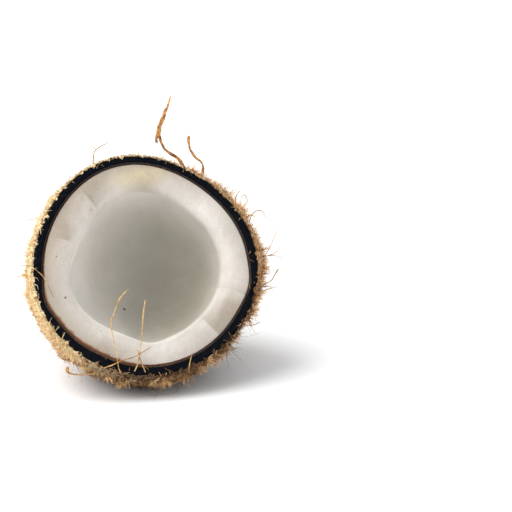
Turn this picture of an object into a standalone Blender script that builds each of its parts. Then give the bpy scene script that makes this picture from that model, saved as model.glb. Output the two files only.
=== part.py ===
"""Half of a mature coconut, cut across its girth and lying on its side.

The nut is modelled about its own axis: the cut face is the plane z = 0, the axis leaves it along +Z, and the body
lies behind it at z < 0. An empty then tips that axis so that the cut face looks forward (-Y) and upward, and the
fibre coat rests on the surface z = 0. Lengths are in metres.
"""

import math
import random

import bmesh
import bpy
from mathutils import Vector

# How the half lies
FACE_TILT = math.radians(32.0)  # the cut face's axis above the horizontal
PRESS = 0.0014  # how far the fibres flatten against the surface

# Hard shell and brown-skinned meat: half ellipsoids, as a radius at the cut and a depth behind it
SHELL_RADIUS = 0.0532
SHELL_DEPTH = 0.0600
SHELL_WALL = 0.0033
SKIN_WALL = 0.0006
GAP = 0.0003

# The nut grows from three carpels, which leave low corners round its girth
LOBE_HEIGHT = 0.0140
LOBE_ANGLE = math.radians(-14.0)
FLAT_HEIGHT = 0.0080
FLAT_ANGLE = math.radians(9.0)
LOBE_FADE = 0.0950

# The hollow in the meat, with its own blunt corners, and the broken face round it
HOLLOW_RADIUS = 0.0356
HOLLOW_DEPTH = 0.0430
HOLLOW_OVAL = (0.026, math.radians(60.0))
HOLLOW_CORNERS = (0.030, math.radians(-31.0))
HOLLOW_FLATS = (0.026, math.radians(8.5))
LIP_ROUND = 0.0012
LIP_DROP = 0.0026  # how far the face slopes down to the hollow, all round but at the bottom
FACE_RELIEF = 0.0005

# Fibre coat: an ellipsoid to the point where it meets the surface, then a tail that droops to lie on it
HUSK_RADIUS = 0.0559
HUSK_DEPTH = 0.0660
HUSK_SETBACK = 0.0003
RIM_CHAMFER = 0.0010
RIM_DEPTH = 0.0020
WORN_DEPTH = 0.0013  # fibres worn off the rim, on its upper side
WORN_ANGLE = math.radians(78.0)
WORN_REACH = 0.0280
TAIL_DEPTH = 0.0900
TAIL_RADIUS = 0.0082
TAIL_CLOSE = 0.0016
TAIL_ARCH = 0.0020
RIDGE_COUNTS = (24, 15)
RIDGE_RIM = 0.00045
RIDGE_BODY = 0.00160
LUMP_HEIGHT = 0.00045
RIM_RAGGED = 0.00050

# Coarse fibres that lie on the coat, drawn back to its tail
FIBRE_COUNT = 54
FIBRE_START = (0.0060, 0.0440)
FIBRE_RUN = (0.0240, 0.0440)
FIBRE_RADIUS = (0.0007, 0.0011)
FIBRE_POINTS = 7
FIBRE_SUNK = 0.0016
FIBRE_SEED = 7

# Loose strands at the end of the tail
STRAND_COUNT = 18
STRAND_ROOT = 0.0720
STRAND_REACH = (0.0110, 0.0230)
STRAND_RADIUS = (0.0008, 0.0013)
STRAND_SPREAD = 0.0080
STRAND_POINTS = 5
STRAND_SEED = 11

# Two long fibres that stand up behind the rim: points from the root out, as (x, y, z, radius) in millimetres
TALL_FIBRE = (
    (25.5, 42.0, -17.5, 1.0),
    (28.6, 48.6, -12.5, 0.9),
    (26.2, 54.0, -9.0, 0.8),
    (20.8, 58.4, -9.1, 0.6),
    (17.9, 63.5, -8.5, 0.5),
    (17.3, 69.2, -7.1, 0.9),
    (19.1, 74.6, -5.3, 0.9),
    (21.9, 80.3, -3.2, 0.5),
    (23.1, 84.9, -1.7, 0.3),
)
TALL_FIBRE_SPUR = ((17.6, 71.0, -7.0, 0.7), (16.6, 67.5, -9.0, 0.7), (16.3, 63.8, -10.6, 0.5))
SHORT_FIBRE = (
    (31.5, 37.5, -24.0, 0.9),
    (37.6, 46.5, -18.0, 0.7),
    (38.2, 51.5, -14.2, 0.5),
    (34.6, 55.6, -13.9, 0.5),
    (32.4, 60.4, -13.0, 0.5),
    (32.1, 65.4, -11.8, 0.8),
)

# Facets
WALL_STEPS = 48
HUSK_STEPS = 84
ARC_STEPS = 8
FRONT_RINGS = 8
TAIL_RINGS = 11
FIBRE_SIDES = 3

LYING_SLOPE = math.tan(FACE_TILT)
TOUCH_RATIO = LYING_SLOPE * HUSK_DEPTH / HUSK_RADIUS
TOUCH_DEPTH = HUSK_DEPTH * TOUCH_RATIO / math.hypot(1.0, TOUCH_RATIO)
TOUCH_RADIUS = HUSK_RADIUS * math.sqrt(1.0 - (TOUCH_DEPTH / HUSK_DEPTH) ** 2)
TAIL_RUN = TAIL_DEPTH - TOUCH_DEPTH
TAIL_BEND = (TOUCH_RADIUS - LYING_SLOPE * TAIL_RUN - TAIL_RADIUS) / TAIL_RUN**2
AXIS_HEIGHT = TOUCH_RADIUS * math.cos(FACE_TILT) + TOUCH_DEPTH * math.sin(FACE_TILT) - PRESS
UPWARD = Vector((0.0, math.cos(FACE_TILT), math.sin(FACE_TILT)))


def clear_scene():
    for obj in list(bpy.data.objects):
        bpy.data.objects.remove(obj)


def new_collection(name):
    collection = bpy.data.collections.new(name)
    bpy.context.scene.collection.children.link(collection)
    return collection


def material(name, colour, roughness):
    made = bpy.data.materials.new(name)
    made.use_nodes = True
    shader = made.node_tree.nodes["Principled BSDF"]
    shader.inputs["Base Color"].default_value = (*colour, 1.0)
    shader.inputs["Roughness"].default_value = roughness
    shader.inputs["Metallic"].default_value = 0.0
    return made


def add_object(name, mesh, collection):
    obj = bpy.data.objects.new(name, mesh)
    collection.objects.link(obj)
    return obj


def as_plain_mesh(obj):
    """The object as Blender evaluates it, as one welded mesh that takes its place."""
    bpy.context.view_layer.update()
    graph = bpy.context.evaluated_depsgraph_get()
    mesh = bpy.data.meshes.new_from_object(obj.evaluated_get(graph))
    work = bmesh.new()
    work.from_mesh(mesh)
    bmesh.ops.remove_doubles(work, verts=work.verts, dist=1e-6)
    bmesh.ops.recalc_face_normals(work, faces=work.faces)
    work.to_mesh(mesh)
    work.free()
    collection = obj.users_collection[0]
    name = obj.name
    bpy.data.objects.remove(obj)
    return add_object(name, mesh, collection)


def turned(name, profile, steps, collection):
    """A solid of revolution about Z. The profile holds (radius, z) points and runs down its outer side."""
    mesh = bpy.data.meshes.new(name)
    points = [(radius, 0.0, z) for radius, z in profile]
    mesh.from_pydata(points, [(i, i + 1) for i in range(len(points) - 1)], [])
    obj = add_object(name, mesh, collection)
    screw = obj.modifiers.new("Turn", "SCREW")
    screw.axis = "Z"
    screw.steps = steps
    screw.render_steps = steps
    screw.use_merge_vertices = True
    screw.merge_threshold = 0.00005
    return as_plain_mesh(obj)


def arc(radius, depth, steps=ARC_STEPS):
    """A quarter ellipse from the rim (radius, 0) down to the pole (0, -depth)."""
    turns = [math.pi / 2 * i / steps for i in range(steps + 1)]
    return [(radius * math.cos(a), -depth * math.sin(a)) for a in turns]


def fade(z, reach):
    return min(1.0, max(0.0, 1.0 + z / reach))


def lobes(angle, z):
    """How much wider than round the nut is in this direction."""
    corners = LOBE_HEIGHT * math.cos(3 * (angle - LOBE_ANGLE))
    flats = FLAT_HEIGHT * math.cos(4 * (angle - FLAT_ANGLE))
    return (corners + flats) * fade(z, LOBE_FADE)


def lobed(point):
    factor = 1.0 + lobes(math.atan2(point.y, point.x), point.z)
    return Vector((point.x * factor, point.y * factor, point.z))


def reshape(obj, formula):
    for vertex in obj.data.vertices:
        vertex.co = formula(vertex.co)
    obj.data.update()


def finish(obj, colour_material):
    obj.data.materials.clear()
    obj.data.materials.append(colour_material)
    obj.data.shade_smooth()
    obj.data.set_sharp_from_angle(angle=math.radians(40.0))


def bowl(name, outer, inner, rim, collection):
    """A round bowl between two half ellipsoids. rim holds the points from the inner edge to the outer one."""
    inside = arc(*inner)[::-1]
    return turned(name, [*inside[:-1], *rim, *arc(*outer)], WALL_STEPS, collection)


def meat_size():
    shrink = SHELL_WALL + SKIN_WALL + 2 * GAP
    return SHELL_RADIUS - shrink, SHELL_DEPTH - shrink


def hollow_shape(angle, z):
    """How much wider than round the hollow is in this direction."""
    waves = ((2, HOLLOW_OVAL), (3, HOLLOW_CORNERS), (4, HOLLOW_FLATS))
    swell = sum(size * math.cos(count * (angle - turn)) for count, (size, turn) in waves)
    return swell * fade(z, HOLLOW_DEPTH)


def broken_meat(point):
    """Shapes the hollow and the outside each in its own way, and breaks the cut face into shallow slopes."""
    angle = math.atan2(point.y, point.x)
    radius = math.hypot(point.x, point.y)
    out_radius, out_depth = meat_size()
    from_outside = max(0.0, 1.0 - math.hypot(radius / out_radius, point.z / out_depth))
    from_hollow = max(0.0, math.hypot(radius / HOLLOW_RADIUS, point.z / HOLLOW_DEPTH) - 1.0)
    inward = from_outside / max(1e-9, from_outside + from_hollow)
    factor = 1.0 + (1.0 - inward) * lobes(angle, point.z) + inward * hollow_shape(angle, point.z)
    moved = Vector((point.x * factor, point.y * factor, point.z))
    soft = 1.0 - max(0.0, -math.sin(angle)) ** 2
    near_cut = fade(point.z, HOLLOW_DEPTH)
    moved.z -= LIP_DROP * soft * inward**2 * near_cut
    relief = math.sin(3 * angle + 0.6) + 0.7 * math.sin(8 * angle + 2.0)
    moved.z += FACE_RELIEF * relief * 4 * inward * (1.0 - inward) * near_cut
    return moved


def make_kernel(collection):
    """The white meat: a thick bowl with a rounded lip round the hollow."""
    outer = meat_size()
    turns = (0.0, math.pi / 4, math.pi / 2)
    lip = [(HOLLOW_RADIUS + LIP_ROUND * (1 - math.cos(a)), -LIP_ROUND * (1 - math.sin(a))) for a in turns]
    lip_end = lip[-1][0]
    face = [(lip_end + (outer[0] - lip_end) * share, 0.0) for share in (0.3, 0.6, 0.85)]
    obj = bowl("kernel", outer, (HOLLOW_RADIUS, HOLLOW_DEPTH), lip + face, collection)
    reshape(obj, broken_meat)
    return obj


def make_seed_coat(collection):
    """The thin brown skin between the meat and the shell."""
    out = SHELL_WALL + GAP
    outer = (SHELL_RADIUS - out, SHELL_DEPTH - out)
    inner = (outer[0] - SKIN_WALL, outer[1] - SKIN_WALL)
    obj = bowl("seed_coat", outer, inner, [(inner[0], 0.0)], collection)
    reshape(obj, lobed)
    return obj


def make_shell(collection):
    """The hard black shell."""
    inner = (SHELL_RADIUS - SHELL_WALL, SHELL_DEPTH - SHELL_WALL)
    obj = bowl("shell", (SHELL_RADIUS, SHELL_DEPTH), inner, [(inner[0], 0.0)], collection)
    reshape(obj, lobed)
    return obj


def husk_section(depth):
    """(radius, droop) of the fibre coat's round section at this depth behind the cut."""
    if depth <= TOUCH_DEPTH:
        chamfer = RIM_CHAMFER * max(0.0, 1.0 - depth / RIM_DEPTH)
        return HUSK_RADIUS * math.sqrt(1.0 - (depth / HUSK_DEPTH) ** 2) - chamfer, 0.0
    past = min(depth, TAIL_DEPTH) - TOUCH_DEPTH
    droop = TAIL_BEND * past**2
    arch = TAIL_ARCH * math.sin(math.pi * past / TAIL_RUN) ** 2
    return TOUCH_RADIUS - LYING_SLOPE * past - droop - arch, droop


def husk_profile():
    front = [0.0, RIM_DEPTH]
    front += [RIM_DEPTH + (TOUCH_DEPTH - RIM_DEPTH) * i / FRONT_RINGS for i in range(1, FRONT_RINGS)]
    tail = [TOUCH_DEPTH + TAIL_RUN * i / TAIL_RINGS for i in range(TAIL_RINGS + 1)]
    rings = [(husk_section(depth)[0], -depth - HUSK_SETBACK) for depth in front + tail]
    close = (0.6 * rings[-1][0], -TAIL_DEPTH - TAIL_CLOSE)
    tip = (0.0, -TAIL_DEPTH - 1.5 * TAIL_CLOSE)
    inner_face = (0.6 * HUSK_RADIUS, -HUSK_SETBACK)
    return [(0.0, -HUSK_SETBACK), inner_face, *rings, close, tip]


def ridge_height(angle, depth):
    """Fibre bundles drawn back to the tail, as sharp-crested ridges that sway and cross, over a lumpy felt."""
    back = min(1.0, depth / TAIL_DEPTH)
    sway = 0.5 * math.sin(4.0 * back + 2 * angle) + 0.9 * back
    first, second = RIDGE_COUNTS
    crest = 0.6 * abs(math.sin(first / 2 * angle + 1.5 * sway)) + 0.4 * abs(math.sin(second / 2 * angle - sway))
    size = RIDGE_RIM + (RIDGE_BODY - RIDGE_RIM) * min(1.0, depth / TOUCH_DEPTH)
    lumps = LUMP_HEIGHT * math.sin(7 * angle + 3.0) * math.sin(22 * back)
    return size * (1.0 - 2.0 * crest) + lumps


def worn(angle, z):
    return WORN_DEPTH * max(0.0, math.cos(angle - WORN_ANGLE)) ** 2 * fade(z, WORN_REACH)


def husk_surface(angle, depth, ridged=1.0, lift=0.0):
    """A point of the fibre coat's side, with this share of the ridges' height, raised by lift."""
    radius, droop = husk_section(depth)
    side = radius * (1.0 + lobes(angle, -depth)) - worn(angle, -depth)
    side += ridged * ridge_height(angle, depth) + lift
    return pressed(Vector((side * math.cos(angle), side * math.sin(angle) - droop, -depth - HUSK_SETBACK)))


def pressed(point):
    """Flattens what would reach below the surface that the half lies on."""
    height = AXIS_HEIGHT + point.dot(UPWARD)
    return point - UPWARD * height if height < 0.0 else point


def fibrous(point):
    """Takes a point of the turned coat onto its ridged, drooping form with a ragged cut edge."""
    radius = math.hypot(point.x, point.y)
    depth = -point.z - HUSK_SETBACK
    angle = math.atan2(point.y, point.x)
    if depth < TOUCH_DEPTH and radius < 0.7 * HUSK_RADIUS:
        return lobed(point)
    if depth > TAIL_DEPTH + 1e-6:
        return pressed(Vector((point.x, point.y - husk_section(depth)[1], point.z)))
    place = husk_surface(angle, depth)
    if depth < 1e-6:
        place.z += RIM_RAGGED * (math.sin(17 * angle) + math.sin(29 * angle + 1.0) - 1.0) / 2
    return place


def make_shell_cutter(collection):
    """The room for the shell inside the fibre coat, run out past the cut face."""
    outer = [(SHELL_RADIUS + GAP, 0.010), *arc(SHELL_RADIUS + GAP, SHELL_DEPTH + GAP)]
    cutter = turned("shell_room", [(0.0, 0.010), *outer], WALL_STEPS, collection)
    reshape(cutter, lobed)
    cutter.hide_render = True
    return cutter


def tube(name, path, collection):
    """A closed tapering tube along (point, radius) pairs, with one edge turned away from the nut's axis."""
    points = [point for point, _radius in path]
    corners = []
    for i, (point, radius) in enumerate(path):
        along = (points[min(i + 1, len(path) - 1)] - points[max(i - 1, 0)]).normalized()
        outward = Vector((point.x, point.y, 0.0))
        outward = (outward - along * outward.dot(along)).normalized()
        across = along.cross(outward)
        for k in range(FIBRE_SIDES):
            turn = 2 * math.pi * k / FIBRE_SIDES
            corners.append(point + (outward * math.cos(turn) + across * math.sin(turn)) * radius)
    faces = [tuple(range(FIBRE_SIDES))[::-1], tuple(range(len(corners) - FIBRE_SIDES, len(corners)))]
    for ring in range(len(path) - 1):
        for k in range(FIBRE_SIDES):
            low = ring * FIBRE_SIDES + k
            next_low = ring * FIBRE_SIDES + (k + 1) % FIBRE_SIDES
            faces.append((low, next_low, next_low + FIBRE_SIDES, low + FIBRE_SIDES))
    mesh = bpy.data.meshes.new(name)
    mesh.from_pydata(corners, [], faces)
    return as_plain_mesh(add_object(name, mesh, collection))


def make_surface_fibre(index, source, collection):
    """One coarse fibre that leaves the coat, lies on it and sinks back into it nearer the tail."""
    angle = 2 * math.pi * (index + source.uniform(-0.4, 0.4)) / FIBRE_COUNT
    start = source.uniform(*FIBRE_START)
    run = min(source.uniform(*FIBRE_RUN), TAIL_DEPTH - 0.004 - start)
    thickness = source.uniform(*FIBRE_RADIUS)
    drift = source.uniform(-0.35, 0.35)
    path = []
    for i in range(FIBRE_POINTS):
        share = i / (FIBRE_POINTS - 1)
        lift = 0.4 * thickness - FIBRE_SUNK * abs(2 * share - 1) ** 3
        turn = angle + drift * share + 0.06 * math.sin(6 * share + index)
        place = husk_surface(turn, start + run * share, 0.3, lift)
        path.append((clear_of_ground(place, thickness), thickness * (1.0 - 0.3 * share)))
    return tube(f"fibre_{index}", path, collection)


def clear_of_ground(place, thickness):
    lift = AXIS_HEIGHT + place.dot(UPWARD) - 1.1 * thickness
    return place - UPWARD * lift if lift < 0.0 else place


def make_strand(index, source, collection):
    """One loose strand, rooted well inside the tail, which leaves it near the end and curls."""
    angle = 2 * math.pi * (index + source.uniform(-0.3, 0.3)) / STRAND_COUNT
    reach = source.uniform(*STRAND_REACH)
    thickness = source.uniform(*STRAND_RADIUS)
    spread = STRAND_SPREAD * source.uniform(0.4, 1.0)
    curl = source.uniform(-0.9, 0.9)
    path = []
    for i in range(STRAND_POINTS):
        share = i / (STRAND_POINTS - 1)
        depth = STRAND_ROOT + (TAIL_DEPTH + reach - STRAND_ROOT) * share
        radius, droop = husk_section(depth)
        out = 0.62 * radius + spread * share**2
        turn = angle + curl * share**2
        place = Vector((out * math.cos(turn), out * math.sin(turn) - droop, -depth))
        path.append((clear_of_ground(place, thickness), thickness * (1.0 - 0.65 * share)))
    return tube(f"strand_{index}", path, collection)


def make_standing_fibres(collection):
    for name, points in (("tall", TALL_FIBRE), ("spur", TALL_FIBRE_SPUR), ("short", SHORT_FIBRE)):
        path = [(Vector((x, y, z)) / 1000, radius / 1000) for x, y, z, radius in points]
        tube(f"{name}_fibre", path, collection)


def apply_boolean(obj, operation, other=None, others=None, solver="EXACT"):
    """Applies one Boolean with an object or with a collection, and removes what it used."""
    boolean = obj.modifiers.new(operation.title(), "BOOLEAN")
    boolean.operation = operation
    boolean.solver = solver
    if others is None:
        boolean.object = other
        used = [other]
    else:
        boolean.operand_type = "COLLECTION"
        boolean.collection = others
        used = list(others.objects)
    result = as_plain_mesh(obj)
    for tool in used:
        bpy.data.objects.remove(tool)
    return result


def keep_main_body(obj):
    """Drops loose scraps and fills the closed hollows that fusing the fibres leaves."""
    work = bmesh.new()
    work.from_mesh(obj.data)
    groups = []
    unseen = set(work.faces)
    while unseen:
        group = [unseen.pop()]
        for face in group:
            shared = [edge for edge in face.edges if len(edge.link_faces) == 2]
            for other in (other for edge in shared for other in edge.link_faces):
                if other in unseen:
                    unseen.remove(other)
                    group.append(other)
        groups.append(group)
    groups.sort(key=len)
    for group in groups[:-1]:
        bmesh.ops.delete(work, geom=group, context="FACES")
    work.to_mesh(obj.data)
    work.free()


def make_husk(collection, helpers, fibres):
    """The fibre coat: a ridged, drooping body with its coarse fibres grown in, hollowed for the shell."""
    coat = turned("husk", husk_profile(), HUSK_STEPS, collection)
    reshape(coat, fibrous)
    source = random.Random(FIBRE_SEED)
    for index in range(FIBRE_COUNT):
        make_surface_fibre(index, source, fibres)
    source = random.Random(STRAND_SEED)
    for index in range(STRAND_COUNT):
        make_strand(index, source, fibres)
    make_standing_fibres(fibres)
    coat = apply_boolean(coat, "UNION", others=fibres, solver="MANIFOLD")
    coat = apply_boolean(coat, "DIFFERENCE", other=make_shell_cutter(helpers), solver="MANIFOLD")
    keep_main_body(coat)
    return coat


def centre_on_ground(axis, husk):
    """Moves the tipped nut sideways until the whole is centred over the origin."""
    bpy.context.view_layer.update()
    points = [axis.matrix_world @ vertex.co for vertex in husk.data.vertices]
    middle_x = (min(p.x for p in points) + max(p.x for p in points)) / 2
    middle_y = (min(p.y for p in points) + max(p.y for p in points)) / 2
    axis.location -= Vector((middle_x, middle_y, min(p.z for p in points)))
    bpy.context.view_layer.update()


def main():
    clear_scene()
    nut = new_collection("coconut_half")
    helpers = new_collection("cutters")
    fibres = new_collection("fibres")

    meat = material("coconut_meat", (0.86, 0.84, 0.79), 0.45)
    skin = material("meat_skin", (0.20, 0.085, 0.040), 0.60)
    hard_shell = material("hard_shell", (0.012, 0.012, 0.015), 0.50)
    fibre = material("coir_fibre", (0.42, 0.24, 0.105), 0.90)

    pieces = [
        (make_kernel(nut), meat),
        (make_seed_coat(nut), skin),
        (make_shell(nut), hard_shell),
        (make_husk(nut, helpers, fibres), fibre),
    ]
    axis = bpy.data.objects.new("nut_axis", None)
    nut.objects.link(axis)
    axis.rotation_euler = (math.pi / 2 - FACE_TILT, 0.0, 0.0)
    axis.location = (0.0, 0.0, AXIS_HEIGHT)
    centre_on_ground(axis, pieces[-1][0])
    for obj, colour_material in pieces:
        finish(obj, colour_material)
        obj.parent = axis
    bpy.context.view_layer.update()


main()
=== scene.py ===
"""Coconut half: the finished look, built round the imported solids.

The file is laid out as a Blender add-on and is run as a script. Lengths are in metres. Every piece is shaped about
the nut's own axis, with the cut face at z = 0 and the body behind it, and then laid down as the solids lie.
"""

import math
import random

import bmesh
import bpy
from bpy.props import FloatProperty, FloatVectorProperty, IntProperty, PointerProperty
from mathutils import Matrix, Vector, noise


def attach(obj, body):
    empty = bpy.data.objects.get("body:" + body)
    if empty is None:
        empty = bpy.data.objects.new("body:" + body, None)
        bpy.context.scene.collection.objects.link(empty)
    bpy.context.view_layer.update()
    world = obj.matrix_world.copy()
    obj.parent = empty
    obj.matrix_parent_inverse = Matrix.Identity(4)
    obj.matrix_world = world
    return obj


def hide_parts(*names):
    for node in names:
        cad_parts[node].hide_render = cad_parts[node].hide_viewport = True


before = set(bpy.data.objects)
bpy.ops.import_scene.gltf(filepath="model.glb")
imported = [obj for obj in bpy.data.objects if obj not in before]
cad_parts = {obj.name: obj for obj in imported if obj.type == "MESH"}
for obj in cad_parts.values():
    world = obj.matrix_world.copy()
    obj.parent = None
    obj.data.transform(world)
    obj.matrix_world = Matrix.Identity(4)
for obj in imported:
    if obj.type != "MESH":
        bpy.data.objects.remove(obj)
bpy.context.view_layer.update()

bl_info = {
    "name": "Coconut Half",
    "version": (1, 0, 0),
    "blender": (4, 5, 0),
    "location": "View3D > Sidebar > Coconut",
    "description": "Builds a halved coconut with its white meat, black shell and fibre coat",
    "category": "Object",
}

# Named shapes of the natural form, as (share of the radius, direction in radians)
CARPELS = (0.0140, math.radians(-14.0))
FLATS = (0.0080, math.radians(9.0))
HOLLOW_OVAL = (0.026, math.radians(60.0))
HOLLOW_CORNERS = (0.030, math.radians(-31.0))
HOLLOW_FLATS = (0.026, math.radians(8.5))
HOLLOW_SHIFT = (0.022, math.radians(10.0))
# Directions that steer the painted light and shade on the meat and the coat
DEEP_ANGLE = math.radians(180.0)
DEEP_SIDE = math.radians(0.0)
LIP_SHADE_ANGLE = math.radians(-30.0)
SHADED_ANGLE = math.radians(-35.0)
OUTER_SHADE_ANGLE = math.radians(155.0)
LIT_SIDE_ANGLE = math.radians(165.0)
BRIGHT_ANGLE = math.radians(-158.0)
# How far the lobes and the thinned cut reach, the direction of the painted shade under the nut, and the coat's ridge
# counts
LOBE_FADE = 0.0950
UNDER_SHADE_ANGLE = math.radians(-70.0)
CUT_FADE = 0.0300
RIDGE_COUNTS = (24, 15)

# Where the coat is worn thin at the cut, as (share of the deepest wear, direction and spread in degrees)
WORN_PLACES = ((1.0, 96.0, 57.0), (0.75, -45.0, 27.0))

# Directions in degrees of the curled wisps that stand off the coat's edge
WISP_ANGLES = (38.0, 24.0, 4.0, -7.0, -14.0, -30.0, -50.0)

# The hollow's corner, and where the shell's cut is thinner or thicker, as (share of the radius, direction and spread)
CORNER = ((0.055, -92.0, 13.0),)
SHELL_CUTS = ((0.020, 88.0, 34.0), (0.030, -164.0, 9.0), (0.024, -15.0, 10.0), (-0.014, -120.0, 12.0))

# Painted shade and painted light on the facets of the broken meat: crease and reach in degrees, strength, start
# across the ring
FACETS = (
    (124.0, -26.0, 0.38, -0.05), (158.0, -13.0, 1.30, 0.25), (-49.0, 20.0, 0.60, -0.10),
    (-29.0, -20.0, 0.60, 0.10), (-29.0, 8.0, 0.60, 0.10), (-21.0, 6.0, 0.30, -0.30),
    (-120.0, 14.0, 0.30, 0.30), (-120.0, -14.0, 0.30, 0.30), (84.0, 18.0, 0.75, -0.30),
    (84.0, -14.0, 0.75, -0.30), (38.0, 30.0, -0.30, -1.0), (38.0, -30.0, -0.30, -1.0),
    (-86.0, 24.0, -0.28, -1.0), (-86.0, -24.0, -0.28, -1.0),
)

# The brown edge of the meat, as (least, extra) width towards one direction, and the centres of its yellow patch
BROWN_EDGE = (0.0004, 0.0020)
BROWN_ANGLE = math.radians(-137.0)
WARM_ANGLE = math.radians(-115.0)
YELLOW_SPOTS = (Vector((0.002, 0.0425, 0.0)), Vector((-0.006, 0.0405, 0.0)), Vector((0.010, 0.0440, 0.0)))

# Where the meat broke: direction in degrees and height of the face there, in millimetres
BREAKS = (
    (-180, 0.10), (-152, -0.35), (-128, 0.25), (-104, -0.10), (-72, 0.35), (-50, -0.30), (-48, 0.30),
    (-22.5, -0.15), (-21, 0.55), (-19.5, -0.10), (22, 0.30), (48, -0.25), (74, 0.30), (104, -0.35),
    (123, -0.70), (125, 0.35), (158, -0.15), (180, 0.10),
)

# The studio
FLOOR_SIZE = 16.0
FLOOR_COLOUR = (0.93, 0.93, 0.925, 1.0)
ROOM_COLOUR = (0.97, 0.985, 1.0, 1.0)
KEY_FROM = Vector((-0.63, 0.04, 0.77))


def millimetres(name, description, default, lowest=0.0):
    return FloatProperty(
        name=name, description=description, default=default / 1000, min=lowest / 1000, unit="LENGTH", precision=5
    )


def colour(name, description, default):
    return FloatVectorProperty(
        name=name, description=description, default=default, subtype="COLOR", size=3, min=0.0, max=1.0
    )


def angular(name, description, degrees):
    return FloatProperty(name=name, description=description, default=math.radians(degrees), subtype="ANGLE")


def whole(name, description, default, lowest=0):
    return IntProperty(name=name, description=description, default=default, min=lowest)


class NutForm(bpy.types.PropertyGroup):
    tilt: angular("Face tilt", "Cut face's axis above the horizontal", 32)
    press: millimetres("Press", "How far the fibres flatten against the surface", 1.4)
    shell_radius: millimetres("Shell radius", "Outer radius of the hard shell at the cut", 53.2)
    shell_depth: millimetres("Shell depth", "From the cut to the shell's pole", 60.0)
    shell_wall: millimetres("Shell wall", "Thickness of the hard shell", 3.3)
    skin_wall: millimetres("Skin wall", "Thickness of the brown skin", 0.6)
    gap: millimetres("Gap", "Gap between nested layers", 0.3)
    hollow_radius: millimetres("Hollow radius", "Radius of the hollow at the cut", 35.6)
    hollow_depth: millimetres("Hollow depth", "From the cut to the hollow's bottom", 43.0)
    lip_round: millimetres("Lip round", "Rounding of the hollow's edge", 1.6)
    lip_drop: millimetres("Lip drop", "How far the face slopes down to the hollow", 3.1)
    crown: millimetres("Crown", "How far the broken meat falls away at the shell", 0.9)
    husk_radius: millimetres("Coat radius", "Outer radius of the fibre coat at the cut", 55.9)
    husk_depth: millimetres("Coat depth", "Depth of the coat's round part", 66.0)
    worn_depth: millimetres("Worn depth", "Fibres worn off the upper rim", 2.1)
    worn_reach: millimetres("Worn reach", "How far behind the cut the wear goes", 28.0)
    tail_depth: millimetres("Tail depth", "From the cut to the end of the drawn-back coat", 90.0)
    tail_radius: millimetres("Tail radius", "Radius of the coat at its tail", 8.2)
    tail_arch: millimetres("Tail arch", "How far the underside lifts before the tail", 2.0)
    ridge_rim: millimetres("Ridge at rim", "Height of the fibre bundles at the cut", 0.45)
    ridge_body: millimetres("Ridge on body", "Height of the fibre bundles on the body", 1.6)
    lump: millimetres("Lump", "Height of the felt's lumps", 0.45)
    steps: whole("Steps", "Divisions round the nut", 384, 24)
    felt_steps: whole("Felt steps", "Divisions round the coat", 640, 24)


class FibreForm(bpy.types.PropertyGroup):
    fuzz_pieces: whole("Fuzz pieces", "Pieces that share the fuzz", 3)
    fuzz_count: whole("Fuzz", "Short curly hairs in each piece", 7000)
    long_pieces: whole("Long pieces", "Pieces that share the long fibres", 2)
    long_count: whole("Long fibres", "Long fibres in each piece", 2700)
    fringe_pieces: whole("Fringe pieces", "Pieces that share the fringe", 1)
    fringe_count: whole("Fringe", "Curls round the cut edge in each piece", 4200)
    spike_count: whole("Spikes", "Stiff ends of cut bundles at the rim", 2300)
    stray_count: whole("Stray hairs", "Single hairs that stand off the coat", 420)
    wisp_count: whole("Wisps", "Curled hairs in tufts at the coat's edge", 200)
    tuft_count: whole("Tuft", "Strands at the tail", 1500)
    hair: millimetres("Hair", "Radius of a fine hair", 0.12)
    curl: millimetres("Curl", "Radius of a curl at the rim", 0.19)
    strand: millimetres("Strand", "Radius of a long fibre", 0.16)


class NutColours(bpy.types.PropertyGroup):
    meat: colour("Meat", "White meat", (0.83, 0.79, 0.745))
    # Painted shade: a darker meat colour that stands for the shade inside the hollow
    hollow: colour("Hollow", "Inner surface of the meat", (0.46, 0.445, 0.385))
    stain: colour("Stain", "Yellowed meat", (0.72, 0.62, 0.36))
    skin: colour("Skin", "Brown skin of the meat", (0.060, 0.025, 0.010))
    shell: colour("Shell", "Hard shell", (0.0016, 0.0026, 0.0050))
    fibre: colour("Fibre", "Lit fibre", (0.70, 0.34, 0.11))
    # Palest fibre: the fibre near the cut, and painted light on the coat's lit side
    fibre_pale_and_lit: colour("Pale fibre", "Bleached fibre", (1.0, 0.84, 0.53))
    fibre_gold: colour("Golden fibre", "Brightest fibre away from the pale side", (1.0, 0.60, 0.25))
    # Darkest felt, which also serves as the painted shade in the felt's pits
    fibre_dark: colour("Dark fibre", "Felt deep in the coat", (0.10, 0.038, 0.014))
    lit_hollow: colour("Lit hollow", "The hollow's wall where it faces the light", (0.98, 0.95, 0.89))
    # Painted shade: tint multiplied onto leaning facets, the ring's outer part and the hollow's shaded wall
    painted_meat_shade: colour("Dulled meat", "Tint of facets that lean away", (0.56, 0.50, 0.43))
    cool: colour("Cool skin", "Tint of the skin away from its warm side", (0.14, 0.16, 0.20))
    nick: colour("Nick", "Nicks in the cut shell", (0.05, 0.045, 0.045))
    # Painted shade: tint multiplied onto the felt under the nut
    felt_under_shade: colour("Low felt", "Tint of the felt under the nut", (0.20, 0.17, 0.17))
    # Painted shade: tint multiplied onto a fibre towards its root
    root: colour("Root", "Tint of a fibre at its root", (0.50, 0.36, 0.25))
    # Painted shade: tint multiplied onto the fibres under the nut
    fibre_under_shade: colour("Low fibre", "Tint of the fibres under the nut", (0.16, 0.09, 0.06))


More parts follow.
